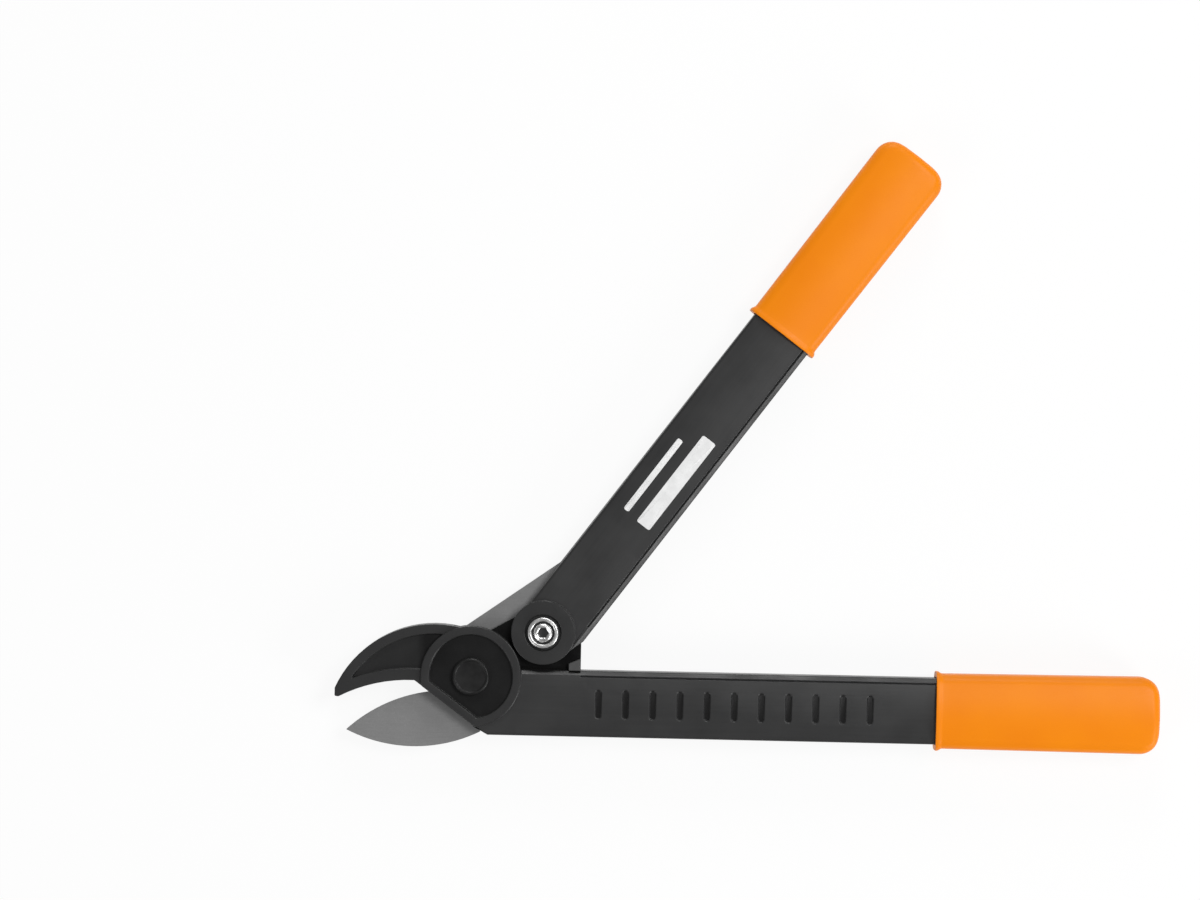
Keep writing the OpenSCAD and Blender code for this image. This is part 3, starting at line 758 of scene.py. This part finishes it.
@dataclass(frozen=True)
class GripSleeve:
    """A grip: a long rounded sleeve with a closed end, a bead round its mouth and a bore."""

    place: Place
    node: str
    section: HandleSection = HandleSection()
    edge_radius: float = 5.6
    edge_share: float = 0.85
    corner_radius: float = 10.0
    end_radius: float = 4.0
    end_crown: float = 0.5
    crown: float = 1.1
    flare: float = 1.2
    bead_rise: float = 1.2
    bead_length: float = 1.0
    bead_fillet: float = 2.6
    bead_face_share: float = 0.35
    lip: float = 0.4
    inset: float = 0.01
    mouth_gap: float = 0.45
    mouth_depth: float = 1.4
    bore_gap: float = 0.04
    closed_length: float = 8.0
    end_steps: int = 13
    cap_steps: int = 7
    body_steps: int = 26
    bead_steps: int = 8
    lip_steps: int = 7
    sharp: float = 50.0

    def outline(self, arc: int = 9, face: int = 15, side: int = 7) -> np.ndarray:
        """The weights that turn a half width w, half height h, edge radius r and crown c into a section.

        A point is y = a (w - r) + b r and z = d (h - c - r) + e r + f c, with f = 1 - a^2 on the faces.

        Args:
            arc: points on each rounded edge.
            face: points across each face.
            side: points across each side.

        Returns:
            Five columns of weights, a to f without c, one row for each point.
        """
        turn = np.linspace(0, np.pi / 2, arc)
        cos, sin, one = np.cos(turn), np.sin(turn), np.ones(arc)
        across = np.linspace(1, -1, face + 2)[1:-1]
        down = np.linspace(1, -1, side + 2)[1:-1]
        none, full = np.zeros(face), np.ones(face)
        half = [
            np.stack([one, cos, one, sin, 0 * one], axis=-1),
            np.stack([across, none, full, full, 1 - across**2], axis=-1),
            np.stack([-one, -sin, one, cos, 0 * one], axis=-1),
            np.stack([0 * down - 1, 0 * down - 1, down, 0 * down, 0 * down], axis=-1),
        ]
        upper = np.vstack(half)
        return np.vstack([upper, -upper])

    def rows(self, length: float, half_width: float, half_height: float) -> np.ndarray:
        """The outer stations from the closed end to the mouth.

        The end cap grows from a point, two quarter circles of different radius round the end in plan and
        from the side, the body tapers evenly, and a smooth step raises the bead, whose lip is a quarter
        circle.

        Args:
            length: the grip's length.
            half_width: half the body's width at the bead.
            half_height: half the body's thickness.

        Returns:
            Columns of place along the grip, half width, half height, edge radius and crown.
        """
        end = length - self.end_crown
        end_width = half_width + self.flare / 2
        turn = np.linspace(0, np.pi / 2, self.end_steps)
        x_end = end - self.corner_radius * (1 - np.cos(turn))
        w_end = end_width - self.corner_radius * (1 - np.sin(turn))
        inset = np.clip(x_end - (end - self.end_radius), 0, self.end_radius)
        h_end = half_height - self.end_radius + np.sqrt(self.end_radius**2 - inset**2)
        r_end = np.minimum(self.edge_radius, self.edge_share * h_end)
        c_end = self.crown * h_end / half_height
        round_end = np.stack([x_end, w_end, h_end, r_end, c_end], -1)
        grow = np.linspace(0, 1, self.cap_steps)[:-1, None]
        cap = np.hstack([length - self.end_crown * grow**2, grow * round_end[0, 1:]])
        step_end = self.bead_length + self.bead_fillet
        x_body = np.linspace(x_end[-1], step_end, self.body_steps)[1:]
        x_step = self.bead_length + self.bead_fillet * np.linspace(1, 0, self.bead_steps)[1:]
        lip_turn = np.linspace(0, np.pi / 2, self.lip_steps)
        x_lip = self.lip * (1 - np.sin(lip_turn))
        x = np.concatenate([x_body, x_step, x_lip])
        t = np.clip((step_end - x) / self.bead_fillet, 0, 1)
        rise = self.bead_rise * t**2 * (3 - 2 * t)
        rise[-len(x_lip):] -= self.lip * (1 - np.cos(lip_turn))
        width = half_width + self.flare / 2 * x / x_end[-1] + rise
        height = half_height + self.bead_face_share * rise
        body = np.stack([x, width, height, self.edge_radius + rise, np.full_like(x, self.crown)], -1)
        return np.vstack([cap, round_end, body])

    def build(self) -> bpy.types.Object:
        """Lofts the sleeve from its closed end over the bead and down the bore.

        The bore's points lie in the same directions as the mouth's, on the handle's section grown by a
        gap.

        Returns:
            The piece.
        """
        low, high = self.place.box(self.node)
        middle = (low + high) / 2
        length, bead_width, bead_height = high - low
        half_width = bead_width / 2 - self.bead_rise - self.inset
        half_height = bead_height / 2 - self.bead_rise
        x, w, h, r, c = (column[:, None] for column in self.rows(length, half_width, half_height).T)
        a, b, d, e, f = self.outline().T
        y = a * (w - r) + b * r
        z = d * (h - c - r) + e * r + f * c
        outer = np.stack([np.broadcast_to(x, y.shape), y, z], axis=-1)
        angle = np.arctan2(z[-1], y[-1])
        bottom = length - self.closed_length
        depth = np.array([0, self.mouth_depth, bottom, bottom])[:, None]
        gap = np.array([self.mouth_gap, self.bore_gap, self.bore_gap, self.bore_gap])
        reach = np.stack([self.section.reach(angle, g) for g in gap]) * np.array([1, 1, 1, 0])[:, None]
        along = np.broadcast_to(depth, reach.shape)
        bore = np.stack([along, reach * np.cos(angle), reach * np.sin(angle)], axis=-1)
        grid = np.concatenate([outer, bore]) + np.array([low[0], middle[1], middle[2]])
        name = f"{self.node}_sleeve"
        return put(name, skin(name, self.place.to_frame(grid), False), self.sharp)


@dataclass(frozen=True)
class Finishes:
    """Every finish of the part."""

    fixed_nylon: Finish
    moving_nylon: Finish
    fixed_grip: Finish
    moving_grip: Finish
    cup: Finish
    blade: Finish = CoatedSteel("grey_blade_coating", (0.215, 0.215, 0.215), roughness=0.55, grain=0.5)
    black: Finish = BareMetal(
        "blackened_bolt_steel",
        (0.006, 0.006, 0.0061),
        roughness=0.36,
        grain=0.5,
        metallic=0.0,
        tint=(0.012, 0.012, 0.012),
        ring_relief=(0.02, 0.2),
        specular=0.35,
    )
    steel: Finish = BareMetal(
        "plain_bush_steel", (0.5, 0.5, 0.5), roughness=0.35, grain=0.5, tint=(0.32, 0.32, 0.33)
    )
    bright: Finish = BareMetal(
        "bright_nut_steel", BRIGHT, roughness=0.3, grain=0.5, tint=BRIGHT_DULLED
    )
    acetal: Finish = DullSolid(
        "white_spacer_acetal", (0.7, 0.68, 0.62), roughness=0.4, grain=0.4, worn=(0.5, 0.48, 0.43)
    )
    rubber: Finish = DullSolid(
        "grey_buffer_rubber",
        (0.05, 0.05, 0.05),
        roughness=0.7,
        grain=0.5,
        worn=(0.09, 0.09, 0.09),
        grain_relief=(0.08, 0.4),
    )
    print: Finish = DullSolid(
        "white_bar_print",
        (0.84, 0.84, 0.84),
        roughness=0.55,
        grain=0.6,
        worn=(0.45, 0.45, 0.45),
        grain_relief=(0.01, 0.4),
    )


@dataclass(frozen=True)
class PivotSet:
    """What the two pivots share: turned pieces on one upright axis."""

    finishes: Finishes
    axis: Pair
    ease: float = 0.25

    def heights(self, node: str) -> tuple[float, float, float]:
        """A turned solid's lowest and highest place and its outer radius, in millimetres."""
        low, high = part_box(node)
        return low.z / MM, high.z / MM, (high.x - low.x) / 2 / MM

    def ring(self, node: str, inner: float, slot: Slot, finish: Finish) -> None:
        """Makes a plain ring with eased edges in the place of its solid.

        Args:
            node: the solid.
            inner: the ring's inner radius.
            slot: the record's slot.
            finish: the finish.
        """
        low, high, outer = self.heights(node)
        corners = np.array([[inner, low], [outer, low], [outer, high], [inner, high]])
        self.piece(node, eased(corners, min(self.ease, (high - low) / 3), True), True, slot, finish)

    def piece(self, node: str, profile: np.ndarray, loop: bool, slot: Slot, finish: Finish) -> None:
        """Turns a profile into a piece that stands for a solid.

        Args:
            node: the solid.
            profile: the profile's points.
            loop: whether the profile is closed, as a ring's is.
            slot: the record's slot, which is not used.
            finish: the finish.
        """
        name = f"{node}_turned"
        made = put(name, skin(name, turned(profile, self.axis), loop))
        shown(made, node, Body.HOOK, finish)


@dataclass(frozen=True)
class MainPivot(PivotSet):
    """The bolt that the blade turns on, with its bush, spacers, washer and nut."""

    shank: float = 5.0
    bush: float = 7.0
    head_height: float = 3.6
    head_cut: float = 0.7
    dimple: float = 8.06
    dimple_depth: float = 0.4
    nut_floor: float = 1.2
    nut_cut: float = 0.7
    flats: float = 17.0
    run: float = 0.05

    def build(self) -> None:
        """Builds the six pieces."""
        self.bolt()
        self.ring("pivot_bush", self.shank + self.run, Slot.STEEL, self.finishes.steel)
        self.ring("front_blade_spacer", self.bush + self.run, Slot.SPACER, self.finishes.acetal)
        self.ring("rear_blade_spacer", self.bush + self.run, Slot.SPACER, self.finishes.acetal)
        self.ring("pivot_washer", self.shank + self.run, Slot.STEEL, self.finishes.steel)
        self.nut()

    def bolt(self) -> None:
        """The bolt's profile: shank, round head with a chamfer and a narrow rim round its sunk face."""
        low, high, head = self.heights("pivot_bolt")
        under = high - self.head_height
        corners = np.array([
            [0, low],
            [self.shank, low],
            [self.shank, under],
            [head, under],
            [head, high - self.head_cut],
            [head - self.head_cut, high],
            [self.dimple, high],
            [self.dimple - self.dimple_depth / 2, high - self.dimple_depth],
            [0, high - self.dimple_depth],
        ])
        profile = eased(corners, self.ease, False)
        self.piece("pivot_bolt", profile, False, Slot.BLACK_STEEL, self.finishes.black)

    def nut(self) -> None:
        """The closed nut's profile: hexagon sides with both ends turned round, and the blind bore."""
        low, high, _ = self.heights("pivot_nut")
        side, bore = self.flats / 2, self.shank + self.run
        corners = np.array([
            [0, low, 0],
            [side - self.nut_cut / 3, low, 0],
            [side, low + self.nut_cut, 1],
            [side, high - self.nut_cut, 1],
            [side - self.nut_cut / 3, high, 0],
            [bore, high, 0],
            [bore, self.nut_floor, 0],
            [0, self.nut_floor, 0],
        ])
        profile = eased(corners, self.ease, False)
        self.piece("pivot_nut", profile, False, Slot.BLACK_STEEL, self.finishes.black)


@dataclass(frozen=True)
class HandlePivot(PivotSet):
    """The screw that the moving handle turns on, with its bush, spacers, cup washer and round nut."""

    shank: float = 3.0
    bush: float = 5.0
    head: float = 4.9
    cup_floor: float = 1.1
    gap: float = 0.9
    lip: float = 1.0
    socket: float = 2.5
    socket_depth: float = 1.4
    socket_rim: float = 3.35
    dome: float = 0.75
    nut_cut: float = 0.8
    run: float = 0.05

    def build(self) -> None:
        """Builds the six pieces."""
        self.ring("link_bush", self.shank + self.run, Slot.STEEL, self.finishes.steel)
        self.ring("front_fork_spacer", self.bush + self.run, Slot.SPACER, self.finishes.acetal)
        self.ring("rear_fork_spacer", self.bush + self.run, Slot.SPACER, self.finishes.acetal)
        self.cup_washer()
        self.screw()
        self.round_nut()

    def cup_washer(self) -> None:
        """The cup washer's profile: a flat floor and a rounded lip round the screw's head."""
        low, high, outer = self.heights("link_cup_washer")
        floor, inner = low + self.cup_floor, self.head + self.gap
        corners = np.array([
            [self.shank + self.run, low],
            [outer, low],
            [outer, high],
            [inner + self.lip / 3, high],
            [inner, high - self.lip],
            [inner, floor],
            [self.shank + self.run, floor],
        ])
        ease = np.array([self.run, self.ease, self.lip, self.lip / 2, self.ease, self.ease, self.run])
        profile = eased(corners, ease, True, FINE_STEPS)
        self.piece("link_cup_washer", profile, True, Slot.BRIGHT_STEEL, self.finishes.cup)

    def screw(self) -> None:
        """The screw's profile: shank, domed round head and a hexagon socket with a turned rim."""
        low, high, head = self.heights("link_screw")
        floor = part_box("link_cup_washer")[0].z / MM + self.cup_floor
        corners = np.array([
            [0, low, 0],
            [self.shank, low, 0],
            [self.shank, floor, 0],
            [head, floor, 0],
            [head, high - self.dome, 0],
            [self.socket_rim, high, 0],
            [self.socket, high - self.dome / 2, 1],
            [self.socket, high - self.socket_depth, 1],
            [0, high - self.socket_depth, 0],
        ])
        ease = np.full(len(corners), self.ease)
        # The head's shoulder and the rim of its socket are rounded as far as the dome falls
        ease[4:6] = self.dome
        profile = eased(corners, ease, False, FINE_STEPS)
        self.piece("link_screw", profile, False, Slot.BRIGHT_STEEL, self.finishes.cup)

    def round_nut(self) -> None:
        """The round nut's profile: a chamfered disc with a blind bore for the screw."""
        low, high, outer = self.heights("link_nut")
        bore, floor = self.shank + self.run, low + self.cup_floor - self.run
        corners = np.array([
            [0, low],
            [outer - self.nut_cut, low],
            [outer, low + self.nut_cut],
            [outer, high],
            [bore, high],
            [bore, floor],
            [0, floor],
        ])
        profile = eased(corners, self.ease, False)
        self.piece("link_nut", profile, False, Slot.BRIGHT_STEEL, self.finishes.bright)


@dataclass(frozen=True)
class FixedSide:
    """The moulded hook and fixed handle with its grip and the two stop buffers."""

    finishes: Finishes
    place: Place
    ease: float = 0.45

    def build(self) -> None:
        """Builds the four pieces."""
        hook = eased_copy("hook_handle", "hook_handle_moulding", self.ease)
        shown(hook, "hook_handle", Body.HOOK, self.finishes.fixed_nylon)
        sleeve = GripSleeve(self.place, "lower_grip").build()
        shown(sleeve, "lower_grip", Body.HOOK, self.finishes.fixed_grip)
        for node in ("front_stop_buffer", "rear_stop_buffer"):
            buffer = eased_copy(node, f"{node}_block", self.ease)
            shown(buffer, node, Body.HOOK, self.finishes.rubber)


@dataclass(frozen=True)
class CuttingBlade:
    """The coated blade plate."""

    finishes: Finishes
    ease: float = 0.12

    def build(self) -> None:
        """Builds the blade."""
        plate = eased_copy("blade", "blade_plate", self.ease)
        shown(plate, "blade", Body.BLADE, self.finishes.blade)


@dataclass(frozen=True)
class MovingSide:
    """The forked moving handle with its grip, its drive pin and two printed bars.

    A bar is its start and end along the handle, its place across it and its width.
    """

    finishes: Finishes
    place: Place
    ease: float = 0.45
    pin_cut: float = 0.6
    bars: tuple[tuple[float, float, float, float], ...] = ((76, 122, 5.2, 3.2), (75, 131, -6.6, 8.2))
    bar_height: float = 0.05
    bar_end: float = 1.2
    face: float = 22.0

    def build(self) -> None:
        """Builds the handle, the grip, the pin and the bars."""
        fork = eased_copy("upper_handle", "upper_handle_moulding", self.ease)
        shown(fork, "upper_handle", Body.UPPER, self.finishes.moving_nylon)
        sleeve = GripSleeve(self.place, "upper_grip").build()
        shown(sleeve, "upper_grip", Body.UPPER, self.finishes.moving_grip)
        self.pin()
        for number, bar in enumerate(self.bars, 1):
            self.bar(f"printed_bar_{number}", *bar)

    def pin(self) -> None:
        """The drive pin's profile: a cylinder with one chamfered end."""
        low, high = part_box("drive_pin")
        radius, centre = (high.x - low.x) / 2 / MM, (low + high) / 2 / MM
        bottom, top = low.z / MM, high.z / MM
        corners = np.array([
            [0, bottom],
            [radius, bottom],
            [radius, top - self.pin_cut],
            [radius - self.pin_cut, top],
            [0, top],
        ])
        name = "drive_pin_turned"
        grid = turned(eased(corners, self.ease, False), (centre.x, centre.y))
        made = put(name, skin(name, grid, False))
        shown(made, "drive_pin", Body.UPPER, self.finishes.steel)

    def bar(self, name: str, start: float, end: float, middle: float, width: float) -> None:
        """Prints a bar on the handle's front: a thin slab with rounded corners.

        The slab is its outline at four stations: a point under its middle, the outline on the face, the
        outline at its top, drawn in by its own height, and a point over its middle.

        Args:
            name: the bar's name.
            start: where it begins along the handle.
            end: where it ends.
            middle: its place across the handle, from the pivot.
            width: its width.
        """
        half = np.array([(end - start) / 2, width / 2])
        corners = half * np.array([[1, 1], [-1, 1], [-1, -1], [1, -1]])
        outline = eased(corners, self.bar_end, True, FINE_STEPS)
        drawn_in = outline * (1 - self.bar_height / half)
        low = np.full((len(outline), 1), self.face)
        high = np.full((len(outline), 1), self.face + self.bar_height)
        rows = [np.hstack([0 * outline, low]), np.hstack([outline, low])]
        rows += [np.hstack([drawn_in, high]), np.hstack([0 * outline, high])]
        grid = np.stack(rows) + np.array([(start + end) / 2, middle * self.place.inner, 0])
        made = put(name, skin(name, self.place.to_frame(grid), False))
        shown(made, None, Body.UPPER, self.finishes.print)


@dataclass(frozen=True)
class Lamp:
    """A soft square lamp, with its places and its size in metres."""

    name: str
    at: tuple[float, float, float]
    to: tuple[float, float, float]
    size: float
    watts: float

    def hang(self) -> None:
        """Hangs the lamp, turned to the point that it lights."""
        data = bpy.data.lights.new(self.name, "AREA")
        data.shape = "SQUARE"
        data.size = self.size
        data.energy = self.watts
        lamp = bpy.data.objects.new(self.name, data)
        lamp.location = self.at
        lamp.rotation_euler = (Vector(self.to) - Vector(self.at)).to_track_quat("-Z", "Y").to_euler()
        lamp.visible_camera = False
        bpy.context.scene.collection.objects.link(lamp)


@dataclass(frozen=True)
class Studio:
    """A white floor, soft lamps and a camera that looks straight down.

    The floor's size and the camera's far limit are in metres.
    """

    centre: Pair = (64.0, 118.0)
    field: float = 618.0
    turn: float = 1.25
    distance: float = 2200.0
    front: float = 22.0
    sensor: float = 36.0
    far: float = 20.0
    floor_size: float = 6.0
    floor_white: float = 0.9
    floor_roughness: float = 0.9
    floor_glow: float = 0.9
    sky: float = 0.2
    lamps: tuple[Lamp, ...] = (
        Lamp("key_lamp", (0.95, 0.52, 1.81), (0.1, 0.1, 0), 0.7, 17.0),
        Lamp("right_lamp", (1.3, -0.8, 0.68), (0.1, 0.1, 0), 0.6, 12.0),
        Lamp("back_lamp", (0.14, 1.55, 0.7), (0.14, 0.0, 0), 0.6, 10.0),
        Lamp("left_lamp", (-1.1, -0.9, 1.3), (0.0, 0.0, 0), 0.9, 9.5),
    )

    def build(self) -> None:
        """Sets the floor, the sky, the lamps, the camera and the view transform."""
        self.floor()
        self.world()
        for lamp in self.lamps:
            lamp.hang()
        self.camera()
        bpy.context.scene.view_settings.view_transform = "Standard"

    def floor(self) -> None:
        """A white floor that glows for camera, glossy and transmission rays, and keeps shadows."""
        half = self.floor_size / 2
        corners = [(-half, -half, 0), (half, -half, 0), (half, half, 0), (-half, half, 0)]
        mesh = bpy.data.meshes.new("studio_floor")
        mesh.from_pydata(corners, [], [(0, 1, 2, 3)])
        floor = bpy.data.objects.new("studio_floor", mesh)
        bpy.context.scene.collection.objects.link(floor)
        graph = Graph("white_floor")
        white = (self.floor_white, self.floor_white, self.floor_white, 1)
        graph.dress(Base_Color=white, Roughness=self.floor_roughness, Specular_IOR_Level=0.0)
        rays = graph.node("ShaderNodeLightPath").outputs
        seen = graph.sum("ADD", rays["Is Camera Ray"], rays["Is Glossy Ray"])
        seen = graph.sum("MINIMUM", graph.sum("ADD", seen, rays["Is Transmission Ray"]), 1.0)
        share = graph.sum("MULTIPLY", seen, self.floor_glow)
        glow = graph.node("ShaderNodeEmission", {"Color": (1, 1, 1, 1), "Strength": 1.0}).outputs[0]
        mixed = graph.node("ShaderNodeMixShader", {0: share, 1: graph.shader.outputs[0], 2: glow})
        graph.feed(graph.output.inputs["Surface"], mixed.outputs[0])
        mesh.materials.append(graph.material)

    def world(self) -> None:
        """An even white sky."""
        world = bpy.data.worlds.new("studio_sky")
        world.use_nodes = True
        world.node_tree.nodes["Background"].inputs["Color"].default_value = (1, 1, 1, 1)
        world.node_tree.nodes["Background"].inputs["Strength"].default_value = self.sky
        bpy.context.scene.world = world

    def camera(self) -> None:
        """A long lens straight above, which sees the field's width at the height of the front faces."""
        data = bpy.data.cameras.new("camera")
        data.sensor_fit = "HORIZONTAL"
        data.sensor_width = self.sensor
        data.lens = self.sensor * self.distance / self.field
        data.clip_end = self.far
        camera = bpy.data.objects.new("camera", data)
        camera.location = (*metres(self.centre), (self.distance + self.front) * MM)
        camera.rotation_euler = (0, 0, math.radians(self.turn))
        bpy.context.scene.collection.objects.link(camera)
        bpy.context.scene.camera = camera


@dataclass(frozen=True)
class Palette:
    """The finishes that follow a handle, and the painted shade in the cup washer and the screw.

    The two depths under the screw's top are those at which the painted shade in the cup washer's groove
    and the screw's socket is darkest and ends.
    """

    charcoal: Colour = (0.026, 0.026, 0.0263)
    charcoal_roughness: float = 0.36
    charcoal_grain: float = 0.45
    moving_joint_end: Pair = (-40.0, -30.0)
    orange: Colour = (0.88, 0.25, 0.001)
    orange_roughness: float = 0.4
    orange_grain: float = 0.7
    grip_crown: float = 0.7
    grip_half_width: float = 20.0
    shade_depths: Pair = (1.3, 0.7)

    def nylon(self, name: str, place: Place, grip: str, **changes: Any) -> Finish:
        """The nylon of one handle.

        Args:
            name: the material's name.
            place: the handle's frame.
            grip: the solid of the grip, which lies on the handle's middle.
            changes: fields that differ on this handle.

        Returns:
            The finish.
        """
        return MouldedNylon(
            name,
            self.charcoal,
            self.charcoal_roughness,
            self.charcoal_grain,
            pivot=place.pivot,
            angle=place.angle,
            middle=place.middle(grip),
            **changes,
        )

    def vinyl(self, name: str, place: Place, grip: str) -> Finish:
        """The vinyl of one grip.

        Args:
            name: the material's name.
            place: the handle's frame.
            grip: the grip's solid.

        Returns:
            The finish.
        """
        return GripVinyl(
            name,
            self.orange,
            self.orange_roughness,
            self.orange_grain,
            pivot=place.pivot,
            angle=place.angle,
            middle=place.middle(grip),
            crown=self.grip_crown,
            half_width=self.grip_half_width,
        )

    def finishes(self, fixed: Place, moving: Place) -> Finishes:
        """Every finish of the part.

        Args:
            fixed: the fixed handle's frame.
            moving: the moving handle's frame.

        Returns:
            The finishes.
        """
        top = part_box("link_screw")[1].z / MM
        fully_shaded, unshaded = (top - depth for depth in self.shade_depths)
        # Painted shade darkens the cup washer's groove and the screw's socket
        cup = BareMetal(
            "bright_cup_steel",
            BRIGHT,
            roughness=0.3,
            grain=0.5,
            tint=BRIGHT_DULLED,
            depth_shade=(fully_shaded, unshaded),
        )
        return Finishes(
            self.nylon("charcoal_fixed_nylon", fixed, "lower_grip"),
            self.nylon("charcoal_moving_nylon", moving, "upper_grip", joint_end=self.moving_joint_end),
            self.vinyl("orange_lower_vinyl", fixed, "lower_grip"),
            self.vinyl("orange_upper_vinyl", moving, "upper_grip"),
            cup,
        )


def joint_axis(name: str) -> Pair:
    """Where a hinge's upright axis stands, in millimetres."""
    joint = next(j for j in frame["joints"] if j["name"] == name)
    return joint["pos_m"][0] / MM, joint["pos_m"][1] / MM


def main() -> None:
    """Builds the part and its studio."""
    logging.basicConfig(level=logging.INFO, format="%(name)s %(message)s")
    main_axis, handle_axis = joint_axis("blade_swing"), joint_axis("handle_swing")
    low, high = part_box("drive_pin")
    pin = (low + high) / 2 / MM
    swing = math.atan2(pin.y - handle_axis[1], pin.x - handle_axis[0])
    fixed, moving = Place(main_axis, 0.0, 1), Place(handle_axis, swing, -1)
    finishes = Palette().finishes(fixed, moving)
    FixedSide(finishes, fixed).build()
    MainPivot(finishes, main_axis).build()
    CuttingBlade(finishes).build()
    HandlePivot(finishes, handle_axis).build()
    MovingSide(finishes, moving).build()
    Studio().build()


if __name__ == "__main__":
    main()
